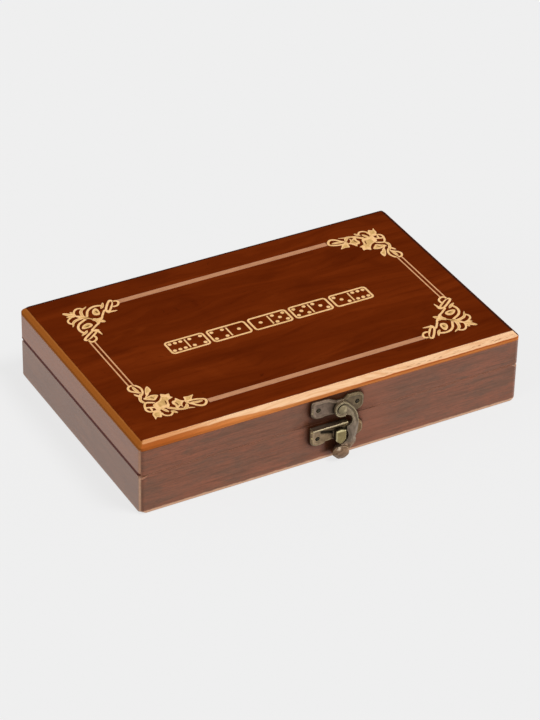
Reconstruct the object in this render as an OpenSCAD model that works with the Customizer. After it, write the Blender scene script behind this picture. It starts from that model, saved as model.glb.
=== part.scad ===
// Flat wooden box for a set of dominoes: mitred walls, a hinged lid with a bevelled top
// board, felt linings, a swing-hook latch on the front and two butt hinges at the back.
// Origin: centre of the underside. X runs along the long sides, the latch faces -Y, +Z is up.

/* [Box] */
// Length of the box along X
box_l = 195; // [150:1:240]
// Width of the box from front to back
box_w = 124; // [100:1:160]
// Height of the base from the table to the seam
base_h = 21; // [20.5:0.5:40]
// Height of the lid from the seam to its top
lid_h = 17; // [14:0.5:32]
// Thickness of the mitred walls
wall_t = 8; // [6:0.5:12]
// Radius of the upright corners
corner_r = 2.2; // [0.4:0.1:3]
// Radius along the bottom edges
foot_r = 1.2; // [0.5:0.1:2.5]
// Easing of the rims that meet at the seam
rim_ease = 0.15; // [0.05:0.05:1]
// How far down the base's top corners are cut
rim_corner = 2.8; // [1:0.1:4]
// How far up its bottom corners are cut
foot_corner = 2.6; // [1:0.1:4]

/* [Boards and linings] */
// Thickness of the lid's top board
top_t = 3.9; // [3:0.1:8]
// Width and drop of the bevel round the top board
top_bevel = 2.4; // [0.5:0.1:2.8]
// Thickness of the bottom panel
bottom_t = 3; // [2:0.5:6]
// Width of the rabbet that the bottom panel sits in
rabbet_w = 4; // [2:0.5:5]
// Gap round the bottom panel in its rabbet
panel_gap = 0.1; // [0.05:0.05:0.4]
// Thickness of the felt linings
felt_t = 1; // [0.5:0.1:2]
// Gap between a felt lining and the walls
felt_gap = 0.3; // [0.1:0.1:1]

/* [Latch] */
// Sideways place of the latch plates
latch_x = 0.5; // [-20:0.5:20]
// Thickness of the latch plates
plate_t = 1.6; // [0.8:0.1:2]
// Length of the latch plates along X
plate_l = 27; // [25:0.5:32]
// Height of a wing of the upper plate
upper_wing_h = 9.2; // [8:0.1:11]
// Height of a wing of the lower plate
lower_wing_h = 7.8; // [7:0.1:9]
// Distance between the two nails of a plate
latch_nail_span = 20; // [18:0.5:22]
// Lean of the upper plate on the wall, in degrees
plate_lean = 3; // [0:0.5:5]
// Height of the upper plate's centre above the seam
upper_plate_z = 7.4; // [6:0.1:10]
// Depth of the lower plate's centre below the seam
lower_plate_z = 7.5; // [6:0.1:9]
// Sideways place of the rivet from the plates' centre
pivot_x = 1.5; // [0:0.1:3]
// Height of the rivet above the seam
pivot_z = 6.1; // [5.5:0.1:7]
// Radius of the rivet's shank
rivet_r = 1.1; // [0.8:0.1:1.5]
// Running clearance of the hook on the rivet
rivet_play = 0.06; // [0.02:0.01:0.1]
// Gap between the hook and the plate behind it
hook_gap = 0.2; // [0.1:0.05:0.4]
// Thickness of the hook
hook_t = 1.5; // [1:0.1:2]
// Radius of the hook's round eye
eye_r = 4; // [3:0.1:4.5]
// Radius of the hook's finger tip
tip_r = 3.25; // [2.5:0.05:3.5]
// How far the finger tip stands out from the wall
tip_out = 4.8; // [3.5:0.1:6]
// Width of the catch
catch_l = 5.1; // [3:0.1:5.5]
// Height of the catch
catch_h = 7.4; // [5:0.1:7.5]
// How far the catch stands out from the wall
catch_out = 4.2; // [3:0.1:5]
// How far the lower plate's ledge stands out from the wall
ledge_out = 3.4; // [2.5:0.1:4]
// Thickness of the ledge
ledge_t = 0.8; // [0.5:0.1:1.2]

/* [Hinges] */
// Length of each hinge along X
hinge_l = 22; // [16:1:30]
// Distance of each hinge's middle from the middle of the box
hinge_x = 58; // [30:1:62]
// Height of each leaf from the pin's axis
leaf_h = 9; // [8:0.5:12]
// Thickness of the leaves
leaf_t = 0.9; // [0.6:0.1:1.2]
// Outer radius of the knuckles
knuckle_r = 1.9; // [1.6:0.1:2.5]
// Radius of the hinge pin
pin_r = 0.9; // [0.7:0.1:1.1]
// Running clearance of the knuckles on the pin
pin_play = 0.05; // [0.02:0.01:0.1]
// Gap between neighbouring knuckles
knuckle_gap = 0.2; // [0.1:0.05:0.4]
// Distance between the two nails of a leaf
hinge_nail_span = 13; // [8:0.5:15]

/* [Nails] */
// Radius of the nails' shanks
nail_r = 0.6; // [0.4:0.05:0.8]
// Length of a nail in the wood
nail_l = 5; // [3:0.5:5.5]
// Radius of the nails' heads
nail_head_r = 1.1; // [0.9:0.1:1.4]
// Height of a nail's head
nail_head_t = 0.5; // [0.3:0.1:0.6]
// Clearance of a nail in its hole
nail_play = 0.04; // [0.02:0.01:0.1]

/* [Hidden] */
$fn = 64;
cut = 0.5;                              // how far a cutter runs past what it cuts
box_h = base_h + lid_h;
lid_wall_top = box_h - top_t;
inner_l = box_l - 2 * wall_t;
inner_w = box_w - 2 * wall_t;

// Sides of the box: quarter turns from the front
FRONT = 0;
RIGHT = 1;
BACK = 2;
LEFT = 3;

hook_back = plate_t + hook_gap;         // back of the hook, out from the wall
hook_front = hook_back + hook_t;
rivet_head_r = 2.4;
rivet_head_h = 1.1;
wing_l = 8.8;                           // length of one wing of a latch plate
wing_corner_r = 3.4;
neck_top = 2.7;                         // top of the upper plate between its wings
neck_drop = 4.2;                        // its bottom there
neck_from = -0.5;                       // where the sloping shoulders meet the neck
neck_to = 3;
shoulder_l = 4.2;                       // length of a shoulder, wing to neck
ledge_z = 1.7;                          // ledge's middle below the seam
ledge_end = 4.6;                        // where the ledge stops short of the hook's arm
waist_rise = 1.2;                       // lower plate's bottom edge between its wings
catch_x = 0.8;                          // catch's middle, from the plates' centre
catch_z = 8.1;                          // catch's middle below the seam
catch_bevel = 1.2;
tenon_r = 1.2;

// The hook, seen from the front and measured from its rivet
arm_arc = [-7.55, -10];                 // centre of the arm's outer edge
arm_arc_r = 16.4;
throat = [2.1, -7.1];                   // round hollow below the eye
throat_r = 3.35;
jaw = [-0.9, -15.1];                    // round hollow that the catch sits in
jaw_r = 4.5;
arm_in = 2.9;                           // inner edge of the arm beside the catch
arm_foot = [2.8, -18.6];                // round foot that joins the arm to the tip
arm_foot_r = 4.5;
tip_z = -22.9;
tip_from = -1.6;                        // the tip's two round ends
tip_to = 0.1;
tip_back = 2;                           // back of the tip, out from the wall

notch_gap = 0.3;                        // leaf's notches, round the other leaf's knuckles
knuckle_set = 0.3;                      // knuckles' distance behind the back face
axis_out = knuckle_r + knuckle_set;     // hinge axis behind the back face
nail_taper = 0.6;                       // top of a nail's head, as a share of its foot
knuckle_l = (hinge_l - 2 * knuckle_gap) / 3;
hinge_nail_z = 6;                       // hinge nails, from the pin's axis
pin_end = 0.4;                          // how far each end of the pin shows

// ---- Shapes that repeat ----

// Rectangle centred on the origin with round corners
module round_rect(l, w, r) {
    square([l - 2 * r, w], center = true);
    square([l, w - 2 * r], center = true);
    for (x = [-1, 1], y = [-1, 1])
        translate([x * (l / 2 - r), y * (w / 2 - r)]) circle(r);
}

// Everything inside the box's upright rounded outline
module in_outline() {
    intersection() {
        linear_extrude(box_h) round_rect(box_l, box_w, corner_r);
        children();
    }
}

// Everything beyond a slanted plane through the origin. It faces outwards from the box's corner
// at x, y, which are 1 or -1, and upwards or downwards as dir is 1 or -1.
module beyond_corner(x, y, dir) {
    rotate([0, 0, atan2(y, x)]) rotate([0, -45 * dir, 0])
        translate([0, -box_h / 2, -box_h / 2]) cube(box_h);
}

// What is cut off the base at both ends of its four upright corners
module base_corner_cuts() {
    for (x = [-1, 1], y = [-1, 1])
        translate([x * box_l / 2, y * box_w / 2, 0]) {
            translate([0, 0, base_h - rim_corner]) beyond_corner(x, y, 1);
            translate([0, 0, foot_corner]) beyond_corner(x, y, -1);
        }
}

// A mitred board on one side. Its section is drawn with x inwards from the outer face and y up.
module mitred_board(side) {
    run = side % 2 == 0 ? box_l : box_w;
    reach = side % 2 == 0 ? box_w / 2 : box_l / 2;
    in_outline()
        rotate(90 * side) translate([0, -reach, 0]) intersection() {
            translate([-run / 2, 0, 0]) rotate([90, 0, 90]) linear_extrude(run) children();
            linear_extrude(box_h) polygon([
                [-run / 2, 0], [run / 2, 0],
                [run / 2 - wall_t, wall_t], [wall_t - run / 2, wall_t],
            ]);
        }
}

// Triangle that eases a right-angled corner, turned to face it
module ease(turn) {
    rotate(turn) polygon([[-cut, -cut], [rim_ease + cut, -cut], [-cut, rim_ease + cut]]);
}

module base_section() {
    difference() {
        square([wall_t, base_h]);
        difference() {
            translate([-cut, -cut]) square(foot_r + cut);
            translate([foot_r, foot_r]) circle(foot_r);
        }
        translate([wall_t - rabbet_w, -cut]) square([rabbet_w + cut, bottom_t + cut]);
        translate([0, base_h]) ease(-90);
        translate([wall_t, base_h]) ease(180);
    }
}

module base_board(side) {
    difference() {
        mitred_board(side) base_section();
        base_corner_cuts();
    }
}

module lid_section() {
    difference() {
        translate([0, base_h]) square([wall_t, lid_wall_top - base_h]);
        translate([0, base_h]) ease(0);
        translate([wall_t, base_h]) ease(90);
    }
}

// Puts a flat drawing on the front face, from one distance out from the wall to another
module out_from_front(from, to) {
    translate([0, -box_w / 2 - from, 0]) rotate([90, 0, 0]) linear_extrude(to - from) children();
}

// Puts a flat drawing on the back face in the same way. x stays the box's own x.
module out_from_back(from, to) {
    translate([0, box_w / 2 + to, 0]) rotate([90, 0, 0]) linear_extrude(to - from) children();
}

// A nail driven towards -Z, with the underside of its head at z = 0
module nail(grow = 0) {
    translate([0, 0, -nail_l]) cylinder(r = nail_r + grow, h = nail_l + (grow > 0 ? cut : 0));
    if (grow == 0) cylinder(r1 = nail_head_r, r2 = nail_head_r * nail_taper, h = nail_head_t);
}

// ---- Latch places ----

module on_upper_plate() {
    translate([latch_x, 0, base_h + upper_plate_z]) rotate([0, plate_lean, 0]) children();
}

module on_lower_plate() {
    translate([latch_x, 0, base_h - lower_plate_z]) children();
}

module on_pivot() {
    translate([latch_x + pivot_x, 0, base_h + pivot_z]) children();
}

// The nails of a latch plate, or their holes. They are sunk in the plate.
module latch_nails(grow = 0) {
    for (x = [-1, 1] * latch_nail_span / 2)
        translate([x, -box_w / 2 - plate_t + nail_head_t, 0]) rotate([90, 0, 0]) {
            nail(grow);
            if (grow > 0) cylinder(r = nail_head_r + grow, h = plate_t);
        }
}

module pivot_hole(play) {
    on_pivot() out_from_front(-cut, hook_front + cut) circle(rivet_r + play);
}

// ---- Hinge places ----

module on_hinge(x) {
    translate([x, box_w / 2 + axis_out, base_h]) children();
}

// The nails of the leaves on one side of the seam, or their holes. dir is 1 above it and -1 below.
module hinge_nails(x, dir, grow = 0) {
    for (dx = [-1, 1] * hinge_nail_span / 2)
        translate([x + dx, box_w / 2 + leaf_t, base_h + dir * hinge_nail_z])
            rotate([-90, 0, 0]) nail(grow);
}

// One knuckle round the hinge's axis, starting at x
module knuckle(x) {
    translate([x, 0, 0]) rotate([0, 90, 0]) cylinder(r = knuckle_r, h = knuckle_l);
}

// A leaf with its knuckles. slots are the places of its knuckles, counted from -X.
module hinge_leaf(x, dir, slots) {
    notch_h = 2 * (knuckle_r + notch_gap);
    difference() {
        union() {
            difference() {
                translate([x, 0, base_h]) out_from_back(0, leaf_t)
                    translate([0, dir * leaf_h / 2]) square([hinge_l, leaf_h], center = true);
                for (i = [0, 1, 2])
                    if (len(search(i, slots)) == 0)
                        on_hinge(x)
                            translate([leaf_x(i) - knuckle_gap, -axis_out - cut, -notch_h / 2])
                                cube([knuckle_l + 2 * knuckle_gap, axis_out + cut, notch_h]);
            }
            on_hinge(x) for (i = slots) {
                knuckle(leaf_x(i));
                translate([leaf_x(i), -axis_out, dir > 0 ? 0 : -knuckle_r])
                    cube([knuckle_l, axis_out, knuckle_r]);
            }
        }
        on_hinge(x) translate([-hinge_l / 2 - cut, 0, 0]) rotate([0, 90, 0])
            cylinder(r = pin_r + pin_play, h = hinge_l + 2 * cut);
        hinge_nails(x, dir, nail_play);
    }
}

function leaf_x(i) = -hinge_l / 2 + i * (knuckle_l + knuckle_gap);

module hinge_pin(x) {
    on_hinge(x) translate([-hinge_l / 2 - pin_end, 0, 0]) rotate([0, 90, 0])
        cylinder(r = pin_r, h = hinge_l + 2 * pin_end);
}

// ---- Base ----

module base_front_wall() {
    color("#8a5340") difference() {
        base_board(FRONT);
        on_lower_plate() latch_nails(nail_play);
    }
}

module base_right_wall() {
    color("#8a6d60") base_board(RIGHT);
}

module base_back_wall() {
    color("#8a5340") difference() {
        base_board(BACK);
        for (x = [-hinge_x, hinge_x]) hinge_nails(x, -1, nail_play);
    }
}

module base_left_wall() {
    color("#8a6d60") base_board(LEFT);
}

module base_bottom_panel() {
    spread = 2 * (rabbet_w - panel_gap);
    color("#b98a5e") translate([-(inner_l + spread) / 2, -(inner_w + spread) / 2, 0])
        cube([inner_l + spread, inner_w + spread, bottom_t]);
}

module base_felt_lining() {
    color("#14562f") translate([0, 0, bottom_t]) linear_extrude(felt_t)
        square([inner_l - 2 * felt_gap, inner_w - 2 * felt_gap], center = true);
}

// ---- Lid ----

module lid_front_wall() {
    color("#8a5340") difference() {
        mitred_board(FRONT) lid_section();
        on_upper_plate() latch_nails(nail_play);
    }
}

module lid_right_wall() {
    color("#96786a") mitred_board(RIGHT) lid_section();
}

module lid_back_wall() {
    color("#8a5340") difference() {
        mitred_board(BACK) lid_section();
        for (x = [-hinge_x, hinge_x]) hinge_nails(x, 1, nail_play);
    }
}

module lid_left_wall() {
    color("#96786a") mitred_board(LEFT) lid_section();
}

// Section across the top board, bevelled at both edges
module top_board_section(w) {
    polygon([
        [-w / 2, lid_wall_top], [w / 2, lid_wall_top],
        [w / 2, box_h - top_bevel], [w / 2 - top_bevel, box_h],
        [top_bevel - w / 2, box_h], [-w / 2, box_h - top_bevel],
    ]);
}

module lid_top_board() {
    color("#6a2607") in_outline() intersection() {
        translate([0, box_w / 2, 0]) rotate([90, 0, 0])
            linear_extrude(box_w) top_board_section(box_l);
        translate([-box_l / 2, 0, 0]) rotate([90, 0, 90])
            linear_extrude(box_l) top_board_section(box_w);
    }
}

module lid_felt_lining() {
    color("#14562f") translate([0, 0, lid_wall_top - felt_t]) linear_extrude(felt_t)
        square([inner_l - 2 * felt_gap, inner_w - 2 * felt_gap], center = true);
}

// ---- Latch ----

// The two wings of a plate, side by side
module wings(h) {
    for (x = [-1, 1] * (plate_l - wing_l) / 2)
        translate([x, 0]) round_rect(wing_l, h, wing_corner_r);
}

module upper_plate_outline() {
    half = upper_wing_h / 2;
    wing_in = plate_l / 2 - wing_l;
    wings(upper_wing_h);
    polygon([
        [-wing_in - wing_corner_r, -neck_drop], [wing_in + wing_corner_r, -neck_drop],
        [wing_in + wing_corner_r, half], [neck_to + shoulder_l / 2, half],
        [neck_to, neck_top], [neck_from, neck_top],
        [neck_from - shoulder_l, half], [-wing_in - wing_corner_r, half],
    ]);
}

module latch_upper_plate() {
    color("#6f6350") difference() {
        on_upper_plate() out_from_front(0, plate_t) upper_plate_outline();
        on_upper_plate() latch_nails(nail_play);
        pivot_hole(nail_play);
    }
}

module hook_outline() {
    difference() {
        union() {
            circle(eye_r);
            intersection() {
                translate(arm_arc) circle(arm_arc_r);
                polygon([
                    [0, 0], [0, 2 * eye_r], [arm_arc_r, 2 * eye_r], [arm_arc_r, tip_z - tip_r],
                    [tip_to, tip_z - tip_r], [tip_from, tip_z],
                    [arm_in, jaw[1]], [arm_in, throat[1]], throat,
                ]);
            }
            translate(arm_foot) circle(arm_foot_r);
        }
        translate(throat) circle(throat_r);
        translate(jaw) circle(jaw_r);
    }
}

// Flat finger tip with two round ends
module tip_outline() {
    for (x = [tip_from, tip_to]) translate([x, tip_z]) circle(tip_r);
    translate([tip_from, tip_z - tip_r]) square([tip_to - tip_from, 2 * tip_r]);
}

module latch_hook() {
    color("#7a6f5b") difference() {
        on_pivot() {
            out_from_front(hook_back, hook_front) hook_outline();
            out_from_front(tip_back, tip_out) difference() {
                tip_outline();
                translate(jaw) circle(jaw_r);
            }
        }
        pivot_hole(rivet_play);
    }
}

module latch_rivet() {
    color("#8a8068") on_pivot() translate([0, -box_w / 2, 0]) rotate([90, 0, 0]) {
        cylinder(r = rivet_r, h = hook_front + hook_gap);
        translate([0, 0, hook_front + hook_gap / 2]) rotate_extrude() intersection() {
            translate([0, rivet_head_h - dome_r()]) circle(dome_r());
            square([rivet_head_r, rivet_head_h]);
        }
    }
}

// Radius of the sphere that the rivet's head is cut from
function dome_r() = (rivet_head_r ^ 2 + rivet_head_h ^ 2) / (2 * rivet_head_h);

module latch_upper_nails() {
    color("#3a2f24") on_upper_plate() latch_nails();
}

module latch_lower_plate() {
    ledge_top = lower_plate_z - ledge_z + ledge_t / 2;
    body_l = plate_l - wing_corner_r;
    color("#75694f") difference() {
        on_lower_plate() {
            out_from_front(0, plate_t) {
                wings(lower_wing_h);
                translate([-body_l / 2, waist_rise - lower_wing_h / 2])
                    square([body_l, lower_wing_h - waist_rise]);
                translate([-plate_l / 2, 0]) square([plate_l / 2 + ledge_end, ledge_top]);
            }
            out_from_front(0, ledge_out)
                translate([-plate_l / 2, ledge_top - ledge_t])
                    square([plate_l / 2 + ledge_end, ledge_t]);
        }
        on_lower_plate() latch_nails(nail_play);
        on_catch() out_from_front(-cut, plate_t + cut) circle(tenon_r + nail_play);
    }
}

module on_catch() {
    translate([latch_x + catch_x, 0, base_h - catch_z]) children();
}

module latch_catch() {
    color("#9a9060") on_catch() {
        out_from_front(plate_t, catch_out) polygon([
            [-catch_l / 2, catch_h / 2], [catch_l / 2, catch_h / 2],
            [catch_l / 2, catch_bevel - catch_h / 2], [catch_l / 2 - catch_bevel, -catch_h / 2],
            [catch_bevel - catch_l / 2, -catch_h / 2], [-catch_l / 2, catch_bevel - catch_h / 2],
        ]);
        out_from_front(0, plate_t) circle(tenon_r);
    }
}

module latch_lower_nails() {
    color("#3a2f24") on_lower_plate() latch_nails();
}

// ---- Hinges ----

module hinge_base_leaf(x) {
    color("#7a6b4a") hinge_leaf(x, -1, [0, 2]);
}

module hinge_lid_leaf(x) {
    color("#7a6b4a") hinge_leaf(x, 1, [1]);
}

module hinge_base_nails() {
    color("#3a2f24") for (x = [-hinge_x, hinge_x]) hinge_nails(x, -1);
}

module hinge_lid_nails() {
    color("#3a2f24") for (x = [-hinge_x, hinge_x]) hinge_nails(x, 1);
}

base_front_wall();
base_right_wall();
base_back_wall();
base_left_wall();
base_bottom_panel();
base_felt_lining();
lid_front_wall();
lid_right_wall();
lid_back_wall();
lid_left_wall();
lid_top_board();
lid_felt_lining();
latch_upper_plate();
latch_hook();
latch_rivet();
latch_upper_nails();
latch_lower_plate();
latch_catch();
latch_lower_nails();
hinge_base_leaf(-hinge_x);  // hinge_left_base_leaf
hinge_lid_leaf(-hinge_x);  // hinge_left_lid_leaf
color("#8a7a52") hinge_pin(-hinge_x);  // hinge_left_pin
hinge_base_leaf(hinge_x);  // hinge_right_base_leaf
hinge_lid_leaf(hinge_x);  // hinge_right_lid_leaf
color("#8a7a52") hinge_pin(hinge_x);  // hinge_right_pin
hinge_base_nails();
hinge_lid_nails();
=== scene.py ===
from math import cos, hypot, pi, radians, sin

import bmesh
import bpy
import numpy as np
from mathutils import Matrix, Vector, noise


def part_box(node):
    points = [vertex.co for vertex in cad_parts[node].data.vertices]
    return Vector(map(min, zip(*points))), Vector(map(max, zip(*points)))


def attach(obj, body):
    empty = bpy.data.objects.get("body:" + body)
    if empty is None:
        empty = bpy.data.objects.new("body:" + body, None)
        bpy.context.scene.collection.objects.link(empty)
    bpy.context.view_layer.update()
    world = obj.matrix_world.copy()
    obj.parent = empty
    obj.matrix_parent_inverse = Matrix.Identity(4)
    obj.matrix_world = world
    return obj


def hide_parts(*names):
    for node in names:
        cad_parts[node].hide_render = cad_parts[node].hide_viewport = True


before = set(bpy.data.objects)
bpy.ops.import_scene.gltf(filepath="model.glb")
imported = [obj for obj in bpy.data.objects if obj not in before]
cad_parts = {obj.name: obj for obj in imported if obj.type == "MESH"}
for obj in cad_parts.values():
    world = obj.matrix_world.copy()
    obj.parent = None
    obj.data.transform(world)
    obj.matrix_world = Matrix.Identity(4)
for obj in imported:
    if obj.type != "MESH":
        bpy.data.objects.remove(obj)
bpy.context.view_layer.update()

MM = 0.001


def box(node):
    """A CAD node's lowest and highest corners, in millimetres."""
    return [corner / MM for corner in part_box(node)]


def new_object(name, data):
    thing = bpy.data.objects.new(name, data)
    bpy.context.scene.collection.objects.link(thing)
    return thing


# Places that the frame gives, in millimetres. The latch is on the front, which faces -Y
board_low, board_high = box("lid_top_board")
half_l = board_high.x
half_w = board_high.y
top_z = board_high.z
board_z = board_low.z
seam_z = box("lid_front_wall")[0].z
wall_front = box("lid_front_wall")[0].y
plate_front = box("latch_upper_plate")[0].y
ledge_front = box("latch_lower_plate")[0].y
ledge_top = box("latch_lower_plate")[1].z

# Sizes that the frame doesn't name, as the CAD model has them
BEVEL = 2.4  # bevel round the lid board
STRIP_H = top_z - board_z - BEVEL  # upright edge of the lid board, below its bevel
CORNER_R = 2.2  # upright corners of the box
RIM_CUT = 2.8  # how far down the base's top corners are cut
FOOT_CUT = 2.6  # how far up its bottom corners are cut
LEDGE_END = 5.0  # right end of the lower plate's ledge
PIVOT = (2.0, 27.1)  # x and z of the hook's rivet
HOOK_FRONT = wall_front - 3.3  # front of the hook's arm


# ---- Nodes ----

def linear(colour, share=1):
    """Red, green, blue and alpha for the nodes, from an sRGB colour such as "#80402a". share darkens it."""
    levels = [int(colour[i:i + 2], 16) / 255 for i in (1, 3, 5)]
    return [share * (v / 12.92 if v <= 0.04045 else ((v + 0.055) / 1.055) ** 2.4) for v in levels] + [1]


class Field:
    """A number or colour that varies over a surface, held as a node's socket. Arithmetic on it
    makes more nodes."""

    def __init__(self, tree, socket):
        self.tree = tree
        self.socket = socket

    def __add__(self, other):
        return self.tree.math("ADD", self, other)

    def __sub__(self, other):
        return self.tree.math("SUBTRACT", self, other)

    def __rsub__(self, other):
        return self.tree.math("SUBTRACT", other, self)

    def __mul__(self, other):
        return self.tree.math("MULTIPLY", self, other)

    def __abs__(self):
        return self.tree.math("ABSOLUTE", self)

    def step(self, low, high):
        """0 at low and 1 at high, with a soft step between them."""
        return self.tree.field("MapRange", {"Value": self, "From Min": low, "From Max": high},
                               interpolation_type="SMOOTHSTEP")


class Tree:
    """Makes and joins the nodes of one material or world."""

    def __init__(self, owner):
        owner.use_nodes = True
        self.nodes = owner.node_tree.nodes
        self.links = owner.node_tree.links

    def put(self, socket, value):
        """Gives a socket a plain value, or joins another node's output to it."""
        if isinstance(value, Field):
            self.links.new(value.socket, socket)
        else:
            socket.default_value = linear(value) if isinstance(value, str) else value

    def add(self, kind, inputs, **settings):
        """A new node. inputs holds its sockets' values, by name or place."""
        node = self.nodes.new("ShaderNode" + kind)
        for key, value in settings.items():
            setattr(node, key, value)
        for key, value in inputs.items():
            self.put(node.inputs[key], value)
        return node

    def finish(self, kind, surface):
        self.put(self.nodes[kind + " Output"].inputs["Surface"], surface)

    def field(self, kind, inputs, output=0, **settings):
        """An output of a new node."""
        return Field(self, self.add(kind, inputs, **settings).outputs[output])

    def math(self, operation, a, b=0.0):
        return self.field("Math", {0: a, 1: b}, operation=operation)


class Look(Tree):
    """One material. place is the point on the surface in millimetres, in the box's own frame."""

    def __init__(self, name, **surface):
        self.material = bpy.data.materials.new(name)
        super().__init__(self.material)
        self.surface = self.nodes["Principled BSDF"]
        for key, value in surface.items():
            self.surface.inputs[key.replace("_", " ")].default_value = value
        metres = self.field("TexCoord", {}, "Object")
        self.place = self.field("VectorMath", {0: metres, "Scale": 1 / MM}, operation="SCALE")
        split = self.add("SeparateXYZ", {0: self.place})
        self.x, self.y, self.z = (Field(self, axis) for axis in split.outputs)

    def most(self, a, b):
        return self.math("MAXIMUM", a, b)

    def least(self, a, b):
        return self.math("MINIMUM", a, b)

    def mix(self, share, a, b, blend="MIX"):
        """a where share is 0 and b where it is 1."""
        return self.field("Mix", {0: share, 6: a, 7: b}, 2, data_type="RGBA", blend_type=blend)

    def paint(self, colour, *coats):
        """Lays coats over colour in turn. Each is (share, paint)."""
        for share, paint in coats:
            colour = self.mix(share, colour, paint)
        return colour

    def cover(self, colour, *coats):
        self.set("Base Color", self.paint(colour, *coats))

    def noise(self, size, detail=2.0, rough=0.5, seed=0, warp=0.0):
        """Noise whose lumps are about size = (x, y, z) millimetres."""
        shift = (seed * 7.31, seed * 3.17, seed * 5.73)
        scale = [1 / s for s in size]
        place = self.field("Mapping", {"Vector": self.place, "Scale": scale, "Location": shift})
        return self.field("TexNoise", {"Vector": place, "Scale": 1.0, "Detail": detail, "Roughness": rough,
                                       "Distortion": warp}, "Fac")

    def grain(self, along, length, width, **options):
        """Noise drawn out along X or Y."""
        size = (length, width, width) if along == "X" else (width, length, width)
        return self.noise(size, **options)

    def bend(self, direction, distance):
        """Moves place along direction by distance, for all the noise that follows."""
        move = self.field("VectorMath", {0: direction, "Scale": distance}, operation="SCALE")
        self.place = self.field("VectorMath", {0: self.place, 1: move}, operation="ADD")

    def beside(self, reach, lean):
        """Up to 1 close beside something that stands on the surface, within reach millimetres and
        mostly towards lean."""
        lean = self.field("VectorTransform", {0: lean}, vector_type="VECTOR", convert_from="OBJECT",
                          convert_to="WORLD")
        normal = self.field("NewGeometry", {}, "Normal")
        leaning = self.field("VectorMath", {0: normal, 1: lean}, operation="ADD")
        return self.open_round(reach, 12, Normal=leaning).step(0.97, 0.8)

    def open_round(self, reach, samples, **inputs):
        """1 where nothing stands within reach millimetres, and less in corners and hollows."""
        return self.field("AmbientOcclusion", {"Distance": reach * MM, **inputs}, "AO", samples=samples)

    def set(self, name, value):
        self.put(self.surface.inputs[name], value)

    def bump(self, height, depth):
        """Raises the surface by up to depth millimetres where height is 1."""
        self.set("Normal", self.field("Bump", {"Height": height, "Distance": depth * MM}))


# ---- Camera, light and floor ----

CAMERA_PLACE = (-0.5702, -1.0111, 0.8002)  # metres
CAMERA_TURN = radians(-29.46)  # about the upright
CAMERA_TILT = radians(34.07)  # down from level
CAMERA_ROLL = radians(1.35)  # about its own axis
LENS = 151.0
BACKDROP = 0.863  # brightness of the pale surroundings, linear
SKY = 0.36  # light that the surroundings give from every side
FLOOR_REACH = 6.0  # metres from its middle to its sides
FLOOR_WHITE = 0.12  # share of the floor's colour that takes shadows
FLOOR_GLOW = 0.15  # light that the white table sends up, shadow or not
KEY = 1.83  # strength of the key light
BOUNCE = 1.3  # strength of the light that a white table sends up from the front right
FILL = 0.95  # strength of the fill light
KEY_FROM = Vector((0.3, -0.36, 0.885)).normalized()
BOUNCE_FROM = Vector((0.8, -0.5, -0.35)).normalized()
FILL_FROM = Vector((-1.0, -0.05, 0.45)).normalized()


def make_camera():
    data = bpy.data.cameras.new("camera")
    data.lens = LENS
    data.clip_start = 0.01
    camera = new_object("camera", data)
    turned = Matrix.Rotation(CAMERA_TURN, 4, "Z") @ Matrix.Rotation(pi / 2 - CAMERA_TILT, 4, "X")
    rolled = turned @ Matrix.Rotation(CAMERA_ROLL, 4, "Z")
    camera.matrix_world = Matrix.Translation(CAMERA_PLACE) @ rolled
    bpy.context.scene.camera = camera


def seen_or_mirrored(tree):
    """1 for what the eye, a reflection or a transmission sees, and 0 for the light that objects get."""
    seen = tree.field("LightPath", {}, "Is Camera Ray")
    for name in ("Is Glossy Ray", "Is Transmission Ray"):
        seen = tree.math("MAXIMUM", seen, tree.field("LightPath", {}, name))
    return seen


def make_world():
    world = bpy.data.worlds.new("studio")
    bpy.context.scene.world = world
    tree = Tree(world)
    tree.nodes.remove(tree.nodes["Background"])
    light = tree.field("Background", {"Color": (1, 1, 1, 1), "Strength": SKY})
    shown = tree.field("Background", {"Color": (1, 1, 1, 1), "Strength": BACKDROP})
    tree.finish("World", tree.field("MixShader", {0: seen_or_mirrored(tree), 1: light, 2: shown}))


def make_floor():
    reach = FLOOR_REACH
    mesh = bpy.data.meshes.new("floor")
    corners = [(-reach, -reach, 0), (reach, -reach, 0), (reach, reach, 0), (-reach, reach, 0)]
    mesh.from_pydata(corners, [], [(0, 1, 2, 3)])
    floor = new_object("floor", mesh)
    material = bpy.data.materials.new("floor")
    tree = Tree(material)
    tree.nodes.remove(tree.nodes["Principled BSDF"])
    paper = tree.field("BsdfDiffuse", {"Color": (FLOOR_WHITE, FLOOR_WHITE, FLOOR_WHITE, 1)})
    lamps_give = (KEY * KEY_FROM.z + FILL * FILL_FROM.z) / pi
    rest = BACKDROP - FLOOR_GLOW - FLOOR_WHITE * (SKY + lamps_give)
    glow = tree.field("Emission", {"Strength": seen_or_mirrored(tree) * rest + FLOOR_GLOW})
    tree.finish("Material", tree.field("AddShader", {0: paper, 1: glow}))
    mesh.materials.append(material)
    floor.visible_shadow = False  # the bounce light comes up through it


def make_sun(name, energy, angle, source):
    sun = bpy.data.lights.new(name, "SUN")
    sun.energy = energy
    sun.angle = radians(angle)
    new_object(name, sun).rotation_euler = source.to_track_quat("Z", "Y").to_euler()


bpy.context.scene.view_settings.view_transform = "Standard"
make_camera()
make_world()
make_floor()
make_sun("key", KEY, 20, KEY_FROM)
make_sun("bounce", BOUNCE, 25, BOUNCE_FROM)
make_sun("fill", FILL, 45, FILL_FROM)


# ---- Woods and print ----

def dress(names, look):
    for name in names:
        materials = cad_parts[name].data.materials
        materials.clear()
        materials.append(look.material)


CALM_X = 8  # middle of the part of a wall that is redder and calmer
FOOT_WORN_AND_LIT = 2.7  # how far up the foot is painted pale: rubbed, and with a painted reflection of the white table
LATCH_SHADES = 18  # how far to either side of the middle the latch's painted shade reaches on the wall


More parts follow.
